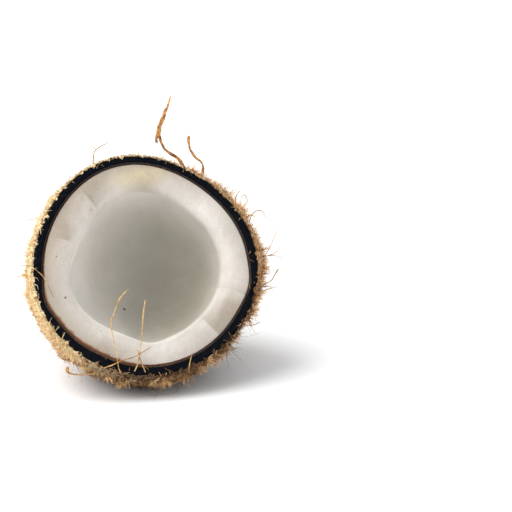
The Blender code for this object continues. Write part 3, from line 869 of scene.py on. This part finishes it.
def fibre_tree():
    """Fibres rooted at random on a mesh: they leave along its "flow", bend, curl, lie on it and taper."""
    tree = bpy.data.node_groups.new("Fibres on a surface", "GeometryNodeTree")
    tree.interface.new_socket("Geometry", in_out="OUTPUT", socket_type="NodeSocketGeometry")
    for kind, names in TREE_INPUTS.items():
        for name in names:
            tree.interface.new_socket(name, in_out="INPUT", socket_type="NodeSocket" + kind)
    given = put(tree, "NodeGroupInput").outputs
    seed = given["Seed"]

    def named(name, kind="FLOAT"):
        return put(tree, "GeometryNodeInputNamedAttribute", {"Name": name}, data_type=kind).outputs["Attribute"]

    def chance(shift, low, high, kind="FLOAT"):
        first = 0 if kind == "FLOAT_VECTOR" else 2
        links = {first: low, first + 1: high, "Seed": plus(tree, seed, float(shift))}
        return put(tree, "FunctionNodeRandomValue", links, data_type=kind).outputs[first // 2]

    def any_way(shift):
        return chance(shift, (-1.0, -1.0, -1.0), (1.0, 1.0, 1.0), "FLOAT_VECTOR")

    def store(geometry, name, value, kind="FLOAT"):
        links = {"Geometry": geometry, "Name": name, "Value": value}
        return put(tree, "GeometryNodeStoreNamedAttribute", links, data_type=kind).outputs[0]

    density = times(tree, named(given["Where"]), given["Density"])
    rooted = put(tree, "GeometryNodeDistributePointsOnFaces", {
        "Mesh": given["Geometry"], "Density": density, "Seed": seed
    }, distribute_method="RANDOM").outputs
    scatter = sized(tree, any_way(1), given["Scatter"])
    along = sized(tree, named("flow", "FLOAT_VECTOR"), given["Follow"])
    stand = sized(tree, rooted["Normal"], given["Stand"])
    heading = joined(tree, joined(tree, scatter, along), stand)
    turned = put(tree, "FunctionNodeAxesToRotation", {0: heading, 1: rooted["Normal"]}).outputs[0]
    length = chance(2, given["Shortest"], given["Longest"])
    points = store(rooted["Points"], "shade", chance(3, 0.0, 1.0))
    points = store(points, "proud", chance(4, 0.2, 1.0))
    bend = sized(tree, any_way(5), given["Bend"])
    points = store(points, "bend", sized(tree, bend, length), "FLOAT_VECTOR")
    line = put(tree, "GeometryNodeCurvePrimitiveLine", {"End": (0.0, 0.0, 1.0)}).outputs[0]
    line = put(tree, "GeometryNodeResampleCurve", {"Curve": line, "Count": given["Points"]}).outputs[0]
    lines = put(tree, "GeometryNodeInstanceOnPoints", {
        "Points": points, "Instance": line, "Rotation": turned, "Scale": length
    }).outputs[0]
    lines = put(tree, "GeometryNodeRealizeInstances", {0: lines}).outputs[0]

    share = put(tree, "GeometryNodeSplineParameter").outputs["Factor"]
    lines = store(lines, "tip", share)
    squared = times(tree, share, share)
    place = put(tree, "GeometryNodeInputPosition").outputs[0]
    own = put(tree, "ShaderNodeCombineXYZ", {0: times(tree, named("shade"), 90.0)}).outputs[0]
    waves = joined(tree, sized(tree, place, maths(tree, "DIVIDE", 1.0, given["Wavelength"])), own)
    wave = put(tree, "ShaderNodeTexNoise", {"Vector": waves, "Scale": 1.0, "Detail": 1.5}).outputs["Color"]
    wave = sized(tree, vectors(tree, "SUBTRACT", wave, (0.5, 0.5, 0.5)), given["Curl"])
    wave = sized(tree, wave, maths(tree, "MINIMUM", times(tree, share, 3.0), 1.0))
    free = joined(tree, place, sized(tree, named("bend", "FLOAT_VECTOR"), squared))
    free = joined(tree, free, wave)
    down = put(tree, "ShaderNodeCombineXYZ", {2: times(tree, squared, given["Droop"])}).outputs[0]
    free = vectors(tree, "SUBTRACT", free, down)
    near = put(tree, "GeometryNodeProximity", {
        0: given["Geometry"], "Sample Position": free
    }, target_element="FACES").outputs["Position"]
    upright = put(tree, "GeometryNodeSampleNearestSurface", {
        "Mesh": given["Geometry"], "Sample Position": free, "Value": put(tree, "GeometryNodeInputNormal").outputs[0]
    }, data_type="FLOAT_VECTOR").outputs["Value"]
    height = times(tree, named("proud"), given["Lift"])
    height = plus(tree, height, times(tree, times(tree, squared, share), given["Rise"]))
    laid = joined(tree, near, sized(tree, upright, height))
    final = put(tree, "ShaderNodeMix", {0: given["Lay"], 4: free, 5: laid}, data_type="VECTOR").outputs[1]
    apart = put(tree, "ShaderNodeSeparateXYZ", {0: final}).outputs
    above = maths(tree, "MAXIMUM", apart[2], times(tree, given["Thickness"], 1.2))
    clear = put(tree, "ShaderNodeCombineXYZ", {0: apart[0], 1: apart[1], 2: above}).outputs[0]
    lines = put(tree, "GeometryNodeSetPosition", {"Geometry": lines, "Position": clear}).outputs[0]

    taper = maths(tree, "SUBTRACT", 1.15, times(tree, squared, 0.75))
    width = times(tree, taper, times(tree, given["Thickness"], named("proud")))
    ring = put(tree, "GeometryNodeCurvePrimitiveCircle", {"Resolution": 3, "Radius": 1.0}).outputs[0]
    tubes = put(tree, "GeometryNodeCurveToMesh", {
        "Curve": lines, "Profile Curve": ring, "Scale": width, "Fill Caps": True
    }).outputs[0]
    tubes = put(tree, "GeometryNodeSetShadeSmooth", {0: tubes}).outputs[0]
    tubes = put(tree, "GeometryNodeRealizeInstances", {0: tubes}).outputs[0]
    tubes = put(tree, "GeometryNodeSetMaterial", {"Geometry": tubes, "Material": given["Material"]}).outputs[0]
    put(tree, "NodeGroupOutput", {0: tubes})
    return tree


def grow(name, count, where, material, seed, **settings):
    """Grows about this many fibres where the felt's attribute allows, as a plain finished mesh of its own."""
    emitter = bpy.data.objects["coconut_felt"]
    tree = bpy.data.node_groups.get("Fibres on a surface") or fibre_tree()
    weights = [0.0] * len(emitter.data.vertices)
    emitter.data.attributes[where].data.foreach_get("value", weights)
    area = sum(
        face.area * sum(weights[v] for v in face.vertices) / len(face.vertices) for face in emitter.data.polygons
    )
    ground = bpy.data.objects.new(name + "_ground", emitter.data)
    bpy.context.scene.collection.objects.link(ground)
    modifier = ground.modifiers.new("Fibres", "NODES")
    modifier.node_group = tree
    given = {"Where": where, "Material": material, "Seed": seed, "Density": count / area, **settings}
    for item in tree.interface.items_tree:
        if item.in_out == "INPUT" and item.name in given:
            modifier[item.identifier] = given[item.name]
    depsgraph = bpy.context.evaluated_depsgraph_get()
    evaluated = ground.evaluated_get(depsgraph)
    mesh = bpy.data.meshes.new_from_object(evaluated, preserve_all_data_layers=True, depsgraph=depsgraph)
    bpy.data.objects.remove(ground)
    mesh.name = name
    piece = bpy.data.objects.new(name, mesh)
    bpy.context.scene.collection.objects.link(piece)
    if len(mesh.polygons) == 0:
        raise RuntimeError(name + " grew nothing")
    finish_piece(piece, "fibre", "husk")


# Fibres laid one by one, as (x, y, z, radius) in millimetres in the nut's own frame

TALL_FIBRE = (
    (24.5, 42.0, -17.5, 1.0), (26.4, 48.6, -12.5, 0.9), (23.6, 54.0, -9.0, 0.8), (18.4, 58.4, -9.1, 0.6),
    (15.5, 63.5, -8.5, 0.5), (14.9, 69.2, -7.1, 0.9), (16.9, 74.6, -5.3, 0.9), (19.9, 80.3, -3.2, 0.5),
    (21.5, 84.9, -1.7, 0.3),
)
TALL_SPUR = ((15.2, 71.0, -7.0, 0.7), (14.0, 67.5, -9.0, 0.7), (13.5, 63.8, -10.6, 0.5))
SHORT_FIBRE = (
    (31.5, 38.5, -24.0, 0.9), (35.6, 47.5, -18.0, 0.7), (35.8, 52.8, -14.2, 0.5), (32.2, 57.1, -13.9, 0.5),
    (30.2, 61.9, -13.0, 0.5), (30.1, 66.9, -11.8, 0.8),
)
LOOSE_FIBRES = (
    ((-15.5, -53.0, -2.0, 0.42), (-17.7, -50.4, 1.0, 0.36), (-18.4, -46.0, 2.4, 0.20), (-19.2, -39.4, 4.5, 0.20),
     (-20.2, -32.5, 7.0, 0.26), (-20.4, -28.2, 8.8, 0.34), (-20.2, -27.0, 9.0, 0.42), (-19.6, -25.9, 9.2, 0.30),
     (-17.8, -22.4, 9.7, 0.30), (-16.0, -18.6, 11.0, 0.44), (-12.0, -14.4, 12.0, 0.24)),
    ((-11.5, -52.3, -2.0, 0.30), (-9.7, -49.2, 1.0, 0.30), (-8.1, -44.9, 3.0, 0.32), (-7.4, -40.4, 5.0, 0.24),
     (-5.7, -29.8, 8.0, 0.30), (-3.8, -19.5, 10.0, 0.30)),
    ((-4.7, -53.8, -2.0, 0.32), (-6.3, -50.0, 1.0, 0.30), (-8.1, -44.9, 3.0, 0.26), (-8.9, -41.5, 4.0, 0.14)),
    ((-25.0, -48.1, -1.0, 0.24), (-21.9, -47.4, 1.0, 0.34), (-15.5, -45.7, 2.5, 0.26), (-9.1, -44.1, 4.0, 0.22),
     (-2.5, -40.8, 5.0, 0.18)),
    ((15.0, -52.9, -1.0, 0.26), (15.5, -49.6, 1.5, 0.26), (16.7, -45.1, 3.0, 0.20)),
    ((-53.5, 3.0, -1.0, 0.22), (-51.7, 0.3, 1.0, 0.22), (-48.8, -3.0, 1.5, 0.24), (-46.6, -8.9, 2.2, 0.15),
     (-45.0, -14.7, 3.0, 0.10)),
    ((-19.3, 51.5, -3.0, 0.40), (-19.4, 55.5, -3.0, 0.36), (-18.5, 58.4, -3.0, 0.32), (-15.8, 60.8, -3.0, 0.26),
     (-10.8, 63.2, -4.0, 0.16)),
    ((-20.5, 62.5, -3.0, 0.12), (-17.6, 59.6, -3.0, 0.18)),
    ((54.0, 19.4, -7.0, 0.26), (55.6, 23.1, -6.0, 0.24), (58.0, 24.6, -5.0, 0.26), (60.7, 23.7, -4.0, 0.26),
     (61.8, 20.6, -4.0, 0.18)),
    ((48.2, 26.8, -5.0, 0.24), (48.3, 32.0, -4.0, 0.26), (50.4, 34.6, -3.0, 0.20)),
    ((50.5, 26.6, -6.0, 0.22), (53.7, 29.4, -5.0, 0.24), (52.9, 32.7, -4.0, 0.24), (50.5, 31.1, -3.0, 0.16)),
    ((54.5, -1.0, -9.0, 0.28), (58.1, 0.3, -8.0, 0.26), (62.1, 5.8, -7.0, 0.24), (66.0, 12.3, -6.0, 0.20),
     (68.2, 16.5, -6.0, 0.13)),
    ((55.0, 1.0, -9.0, 0.26), (60.3, 2.2, -8.0, 0.24), (65.3, 3.6, -7.0, 0.20), (68.2, 7.4, -7.0, 0.12)),
    ((60.3, 2.2, -8.0, 0.20), (64.1, 2.2, -7.0, 0.20), (69.0, 0.3, -7.0, 0.12)),
    ((54.5, -12.4, -8.0, 0.30), (60.3, -10.9, -6.0, 0.26), (62.9, -8.3, -5.0, 0.30), (65.0, -5.6, -4.0, 0.42)),
    ((54.0, -15.4, -8.0, 0.26), (59.9, -14.4, -6.0, 0.24), (63.7, -13.9, -5.0, 0.16)),
    ((28.0, -47.5, -4.0, 0.24), (33.8, -44.6, -3.0, 0.20), (38.0, -46.4, -3.0, 0.12)),
    ((44.0, -31.0, -6.0, 0.26), (49.6, -32.0, -5.0, 0.22), (53.3, -30.3, -5.0, 0.14)),
    ((-48.6, 27.1, -3.0, 0.24), (-54.7, 26.6, -4.0, 0.12)), ((-52.9, 9.5, -3.0, 0.24), (-58.5, 11.9, -4.0, 0.12)),
    ((-53.3, 3.6, -3.0, 0.20), (-59.0, 5.0, -4.0, 0.12)), ((-54.3, 0.1, -4.0, 0.24), (-61.4, -0.3, -5.0, 0.16)),
    ((-24.0, -48.7, -4.0, 0.50), (-32.1, -49.4, -4.0, 0.45), (-38.3, -49.6, -3.0, 0.36), (-41.0, -48.3, -3.0, 0.50),
     (-41.4, -46.9, -3.0, 0.95), (-40.9, -45.6, -3.0, 0.60)),
)
SPECK_AIM = Vector((-0.215, -0.246, 0.945))
MEAT_SPECKS = (
    (-39.6, -13.2, 0.50), (-15.6, -21.9, 0.75), (-41.8, 7.0, 0.30), (-23.2, 28.8, 0.28), (-24.5, -30.5, 0.22),
)


def build_loose_fibres(name, paths, strands, seed):
    """Fibres along given paths, each of so many fine strands."""
    source = random.Random(seed)
    points, faces, shades = [], [], []
    for path in paths:
        rooted_fibre(points, faces, path, strands, source)
        shades += [source.uniform(0.45, 1.0)] * (len(points) - len(shades))
    piece = new_piece(name, points, faces)
    write_attributes(piece, {"shade": shades})
    return piece


def build_shell_bits(form, count, seed):
    """Short curled hairs that cling to the cut shell and the meat's edge."""
    source = random.Random(seed)
    points, faces, shades = [], [], []
    for _bit in range(count):
        angle = source.uniform(-math.pi, math.pi)
        radius = (form.shell_radius - source.uniform(-0.0006, 0.0040)) * (1.0 + lobes(angle, 0.0))
        spot = Vector((radius * math.cos(angle), radius * math.sin(angle), 0.0005))
        heading = source.uniform(-math.pi, math.pi)
        bend = source.uniform(-1.6, 1.6)
        length = source.uniform(0.0008, 0.0030)
        run = []
        for i in range(6):
            turn = heading + bend * i / 5
            run.append((spot.copy(), 0.00010 * (1.2 - 0.12 * i)))
            spot += Vector((math.cos(turn), math.sin(turn), 0.25 * math.sin(2.2 * i))) * length / 5
        tube(points, faces, run, 4)
        shades += [source.uniform(0.5, 1.0)] * (len(points) - len(shades))
    piece = new_piece("shell_bits", points, faces)
    write_attributes(piece, {"shade": shades})
    return piece


def build_specks():
    """Brown crumbs that stick to the meat."""
    meat = bpy.data.objects["coconut_meat"]
    to_world = lay_down()
    seen_from = to_world.to_3x3() @ SPECK_AIM
    points, faces = [], []
    for x, y, size in MEAT_SPECKS:
        above = to_world @ (Vector((x / 1000, y / 1000, 0.0)) + 0.02 * SPECK_AIM)
        hit, place, _normal, _face = meat.ray_cast(above, -seen_from)
        if not hit:
            raise RuntimeError("a speck misses the meat")
        centre = to_world.inverted() @ place
        ball = bmesh.new()
        bmesh.ops.create_icosphere(ball, subdivisions=2, radius=size / 1000)
        first = len(points)
        for vertex in ball.verts:
            bulge = 1.0 + 0.35 * noise.noise(vertex.co * 2600 + centre * 500)
            points.append(centre + Vector((vertex.co.x, vertex.co.y, 0.5 * vertex.co.z)) * bulge)
        faces += [tuple(first + vertex.index for vertex in face.verts) for face in ball.faces]
        ball.free()
    return new_piece("meat_specks", points, faces)


# Operators

class COCONUT_OT_meat(bpy.types.Operator):
    """The white meat with its hollow"""
    bl_idname = "coconut.meat"
    bl_label = "Meat"

    def execute(self, context):
        piece = build_meat(context.scene.nut_form)
        finish_body(piece, meat_material(context.scene.nut_colours), "meat", "kernel")
        return {"FINISHED"}


class COCONUT_OT_skin(bpy.types.Operator):
    """The brown skin between meat and shell"""
    bl_idname = "coconut.skin"
    bl_label = "Brown skin"

    def execute(self, context):
        form = context.scene.nut_form
        outer = tuple(size - form.shell_wall - 0.5 * form.gap for size in (form.shell_radius, form.shell_depth))
        inner = tuple(size - form.skin_wall - 0.5 * form.gap for size in outer)
        piece = build_bowl("meat_skin", form, outer, inner, 0.00035, 2, True, 0.0005)
        finish_body(piece, skin_material(context.scene.nut_colours), "meat_skin", "seed_coat")
        return {"FINISHED"}


class COCONUT_OT_shell(bpy.types.Operator):
    """The hard shell with its rough cut"""
    bl_idname = "coconut.shell"
    bl_label = "Hard shell"

    def execute(self, context):
        form = context.scene.nut_form
        outer = (form.shell_radius, form.shell_depth)
        inner = tuple(size - form.shell_wall for size in outer)
        piece = build_bowl("hard_shell", form, outer, inner, 0.00045, 9, False)
        finish_body(piece, shell_material(context.scene.nut_colours), "hard_shell", "shell")
        return {"FINISHED"}


class COCONUT_OT_felt(bpy.types.Operator):
    """The matted body of the fibre coat"""
    bl_idname = "coconut.felt"
    bl_label = "Felt"

    def execute(self, context):
        piece = build_felt(context.scene.nut_form)
        finish_body(piece, felt_material(context.scene.nut_colours), "fibre", "husk")
        return {"FINISHED"}


class COCONUT_OT_fuzz(bpy.types.Operator):
    """Short curly hairs all over the coat"""
    bl_idname = "coconut.fuzz"
    bl_label = "Fuzz"

    def execute(self, context):
        fibres = context.scene.fibre_form
        material = fibre_material("fibre_fuzz", context.scene.nut_colours, light=0.8)
        for patch in range(fibres.fuzz_pieces):
            grow(
                f"coat_fuzz_{patch + 1}", fibres.fuzz_count, "body", material, 11 + patch, Points=5,
                Shortest=0.0014, Longest=0.0046, Thickness=fibres.hair, Follow=0.30, Scatter=1.0, Stand=0.35,
                Bend=0.6, Curl=0.0026, Wavelength=0.0032, Lay=0.45, Lift=0.0010,
            )
        return {"FINISHED"}


class COCONUT_OT_long_fibres(bpy.types.Operator):
    """Long fibres drawn back along the coat"""
    bl_idname = "coconut.long_fibres"
    bl_label = "Long fibres"

    def execute(self, context):
        fibres = context.scene.fibre_form
        material = fibre_material("fibre_long", context.scene.nut_colours, dark=0.15)
        for patch in range(fibres.long_pieces):
            grow(
                f"long_fibres_{patch + 1}", fibres.long_count, "body", material, 31 + patch, Points=11,
                Shortest=0.012, Longest=0.042, Thickness=fibres.strand, Follow=1.0, Scatter=0.42,
                Bend=0.22, Curl=0.0040, Wavelength=0.012, Lay=1.0, Lift=0.0011, Rise=0.0008,
            )
        return {"FINISHED"}


class COCONUT_OT_fringe(bpy.types.Operator):
    """Hairs round the cut edge and the tuft at the tail"""
    bl_idname = "coconut.fringe"
    bl_label = "Fringe and tuft"

    def execute(self, context):
        fibres = context.scene.fibre_form
        colours = context.scene.nut_colours
        hairs = fibre_material("fibre_fringe", colours, dark=0.15, gilt=0.12)
        spiky = fibre_material("fibre_spikes", colours, dark=0.60, light=1.3, rooted=0.6, dimmed=0.0)
        for patch in range(fibres.fringe_pieces):
            grow(
                f"rim_curls_{patch + 1}", fibres.fringe_count, "rim", hairs, 51 + patch, Points=6,
                Shortest=0.0008, Longest=0.0022, Thickness=fibres.curl, Follow=0.55, Scatter=0.9, Stand=0.6,
                Bend=1.1, Curl=0.0020, Wavelength=0.0014,
            )
        grow(
            "rim_spikes", fibres.spike_count, "tuft", spiky, 71, Points=4,
            Shortest=0.0022, Longest=0.0052, Thickness=fibres.curl, Follow=-0.30, Scatter=1.0, Stand=0.6,
            Bend=0.2, Curl=0.0005, Wavelength=0.0020,
        )
        grow(
            "stray_hairs", fibres.stray_count, "body", hairs, 61, Points=8,
            Shortest=0.004, Longest=0.012, Thickness=0.8 * fibres.hair, Follow=0.2, Scatter=0.9, Stand=1.0,
            Bend=0.7, Curl=0.0045, Wavelength=0.007, Droop=0.002,
        )
        grow(
            "rim_wisps", fibres.wisp_count, "wisp", hairs, 67, Points=11,
            Shortest=0.003, Longest=0.0085, Thickness=1.3 * fibres.hair, Scatter=0.8, Stand=1.0,
            Bend=0.7, Curl=0.0050, Wavelength=0.0032,
        )
        grow(
            "tail_tuft", fibres.tuft_count, "tail", hairs, 57, Points=10,
            Shortest=0.009, Longest=0.024, Thickness=fibres.strand, Follow=1.0, Scatter=0.45, Stand=0.12,
            Bend=0.45, Curl=0.0060, Wavelength=0.012, Droop=0.004,
        )
        return {"FINISHED"}


class COCONUT_OT_loose(bpy.types.Operator):
    """The standing fibres and the loose ones that cross the cut"""
    bl_idname = "coconut.loose"
    bl_label = "Loose fibres"

    def execute(self, context):
        colours = context.scene.nut_colours
        form = context.scene.nut_form
        tan = fibre_material("fibre_loose", colours, dark=0.2, light=0.80, rooted=0.0, tone=(0.74, 0.84, 0.86))
        brown = fibre_material("fibre_standing", colours, light=0.60, rooted=0.0)
        standing = build_loose_fibres("standing_fibres", (TALL_FIBRE, TALL_SPUR, SHORT_FIBRE), 4, 3)
        loose = build_loose_fibres("loose_fibres", LOOSE_FIBRES, 1, 5)
        bits = build_shell_bits(form, 24, 9)
        for piece, material in ((standing, brown), (loose, tan), (bits, tan)):
            finish_body(piece, material, "fibre", "husk")
        finish_body(build_specks(), bpy.data.materials["meat_skin"], "meat_skin")
        return {"FINISHED"}


class COCONUT_OT_stage(bpy.types.Operator):
    """The pale floor, the lights and the camera"""
    bl_idname = "coconut.stage"
    bl_label = "Stage"

    def execute(self, context):
        scene = context.scene
        studio = scene.studio_form
        bpy.ops.mesh.primitive_plane_add(size=FLOOR_SIZE, location=(0.0, 0.0, 0.0))
        floor = context.object
        floor.name = "pale_floor"
        look = {"Base Color": FLOOR_COLOUR, "Roughness": 0.7, "Specular IOR Level": 0.2}
        floor.data.materials.append(new_material("pale_floor", **look)[0])
        self.key_light(studio)
        scene.world = self.surroundings(studio)
        scene.view_settings.view_transform = "Standard"
        scene.view_settings.look = "None"
        self.camera(scene, studio, lay_down().translation)
        return {"FINISHED"}

    def surroundings(self, studio):
        """A white room to look at, which fills the shadows only weakly."""
        world = bpy.data.worlds.new("studio")
        world.use_nodes = True
        tree = world.node_tree
        tree.nodes.clear()
        seen = put(tree, "ShaderNodeLightPath").outputs["Is Camera Ray"]
        strength = scaled(tree, seen, 1.0 - studio.fill, studio.fill)
        room = put(tree, "ShaderNodeBackground", {"Color": ROOM_COLOUR, "Strength": strength})
        put(tree, "ShaderNodeOutputWorld", {"Surface": room.outputs[0]})
        return world

    def key_light(self, studio):
        lamp = bpy.data.lights.new("key", "SUN")
        lamp.energy = studio.key_strength
        lamp.angle = studio.key_spread
        light = bpy.data.objects.new("key", lamp)
        light.rotation_euler = KEY_FROM.to_track_quat("Z", "Y").to_euler()
        bpy.context.scene.collection.objects.link(light)

    def camera(self, scene, studio, centre):
        """Stands at the photograph's angle and aims to the right of the nut, which sits left in the picture."""
        across, high = studio.azimuth, studio.elevation
        back = Vector((math.sin(across) * math.cos(high), -math.cos(across) * math.cos(high), math.sin(high)))
        right = Vector((math.cos(across), math.sin(across), 0.0))
        above = back.cross(right)
        lens = bpy.data.cameras.new("camera")
        lens.sensor_fit = "HORIZONTAL"
        lens.angle = 2 * math.atan(0.5 * studio.frame_width / studio.distance)
        lens.clip_start = 0.01
        camera = bpy.data.objects.new("camera", lens)
        aim = centre + right * studio.shift_right + above * studio.shift_up
        camera.location = aim + back * studio.distance
        camera.rotation_euler = (-back).to_track_quat("-Z", "Y").to_euler()
        scene.collection.objects.link(camera)
        scene.camera = camera


class COCONUT_PT_panel(bpy.types.Panel):
    bl_label = "Coconut half"
    bl_idname = "COCONUT_PT_panel"
    bl_space_type = "VIEW_3D"
    bl_region_type = "UI"
    bl_category = "Coconut"

    def draw(self, context):
        for operator in OPERATORS:
            self.layout.operator(operator.bl_idname)
        for place in GROUPS:
            box = self.layout.box()
            group = getattr(context.scene, place)
            for name in group.bl_rna.properties.keys():
                if name not in ("rna_type", "name"):
                    box.prop(group, name)


GROUPS = {"nut_form": NutForm, "fibre_form": FibreForm, "nut_colours": NutColours, "studio_form": StudioForm}
OPERATORS = (
    COCONUT_OT_meat, COCONUT_OT_skin, COCONUT_OT_shell, COCONUT_OT_felt, COCONUT_OT_fuzz, COCONUT_OT_long_fibres,
    COCONUT_OT_fringe, COCONUT_OT_loose, COCONUT_OT_stage,
)


def register():
    for kind in (*GROUPS.values(), *OPERATORS, COCONUT_PT_panel):
        bpy.utils.register_class(kind)
    for place, group in GROUPS.items():
        setattr(bpy.types.Scene, place, PointerProperty(type=group))


def unregister():
    for place in GROUPS:
        delattr(bpy.types.Scene, place)
    for kind in (COCONUT_PT_panel, *reversed(OPERATORS), *reversed(GROUPS.values())):
        bpy.utils.unregister_class(kind)


def main():
    register()
    bpy.ops.coconut.meat()
    bpy.ops.coconut.skin()
    bpy.ops.coconut.shell()
    bpy.ops.coconut.felt()
    bpy.ops.coconut.fuzz()
    bpy.ops.coconut.long_fibres()
    bpy.ops.coconut.fringe()
    bpy.ops.coconut.loose()
    bpy.ops.coconut.stage()


if __name__ == "__main__":
    main()
